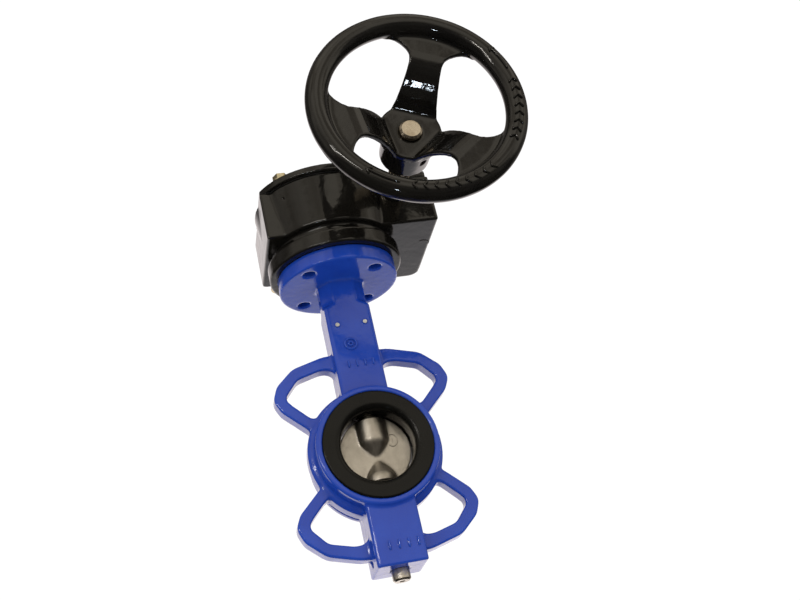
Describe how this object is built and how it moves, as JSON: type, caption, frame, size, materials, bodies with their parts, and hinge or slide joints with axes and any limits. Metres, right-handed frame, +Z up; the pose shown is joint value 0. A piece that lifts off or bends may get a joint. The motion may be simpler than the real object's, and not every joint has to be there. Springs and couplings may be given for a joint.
{
  "type": "wafer butterfly valve",
  "caption": "Wafer butterfly valve: blue lined body with bolt loops, stainless disc on two stems, and a black worm gear operator turned by a dished handwheel.",
  "frame": {"origin": "the point where the pipe axis and the stem axis cross, at the centre of the bore", "axes": "+Z up along the stem towards the gear operator, Y along the pipe with the handwheel on the -Y side, +X towards the worm side of the operator"},
  "size_m": [0.1923, 0.2198, 0.3622],
  "materials": {
    "body_paint": "glossy blue enamel on a casting",
    "black_paint": "glossy black enamel on a casting",
    "seat_rubber": "satin black rubber",
    "stainless_cast": "cast and bead blasted stainless steel",
    "stainless_bar": "turned stainless steel",
    "zinc_yellow": "yellow passivated zinc plate",
    "bronze": "machined bronze",
    "black_rubber_small": "black rubber"
  },
  "bodies": {
    "valve_body": {"valve_body": "body_paint", "seat_liner": "seat_rubber", "upper_stem_bush": "bronze", "neck_stem_bush": "bronze", "lower_stem_bush": "bronze", "stem_o_rings": "black_rubber_small", "stem_thrust_washer": "bronze", "lower_stem_screw": "stainless_bar", "nameplate_rivets": "stainless_bar", "gearbox_housing": "black_paint", "gearbox_cover": "black_paint", "cover_gasket": "black_rubber_small", "cover_screws": "zinc_yellow", "worm_wheel_bush": "bronze", "worm_bush_front": "bronze", "worm_bush_rear": "bronze", "input_shaft_seal": "black_rubber_small", "rear_bearing_plug": "zinc_yellow", "stop_bolts": "zinc_yellow", "stop_lock_nuts": "zinc_yellow"},
    "stem_train": {"valve_disc": "stainless_cast", "upper_stem": "stainless_bar", "lower_stem": "stainless_bar", "stem_circlip": "stainless_bar", "worm_wheel": "bronze", "position_indicator": "black_paint"},
    "handwheel_train": {"handwheel": "black_paint", "handwheel_pin": "stainless_bar", "input_shaft": "zinc_yellow", "worm": "stainless_bar", "worm_pin": "stainless_bar"}
  },
  "joints": [
    {"name": "handwheel_turn", "type": "hinge", "parent": "valve_body", "child": "handwheel_train", "pos_m": [0.0513, -0.11, 0.1932], "axis": [0, -1, 0], "range_deg": [0, 3600]},
    {"name": "stem_turn", "type": "hinge", "parent": "valve_body", "child": "stem_train", "pos_m": [0, 0, 0], "axis": [0, 0, 1], "range_deg": [0, 90]}
  ],
  "couplings": [
    {"joint": "stem_turn", "follows": "handwheel_turn", "ratio": 0.025}
  ]
}
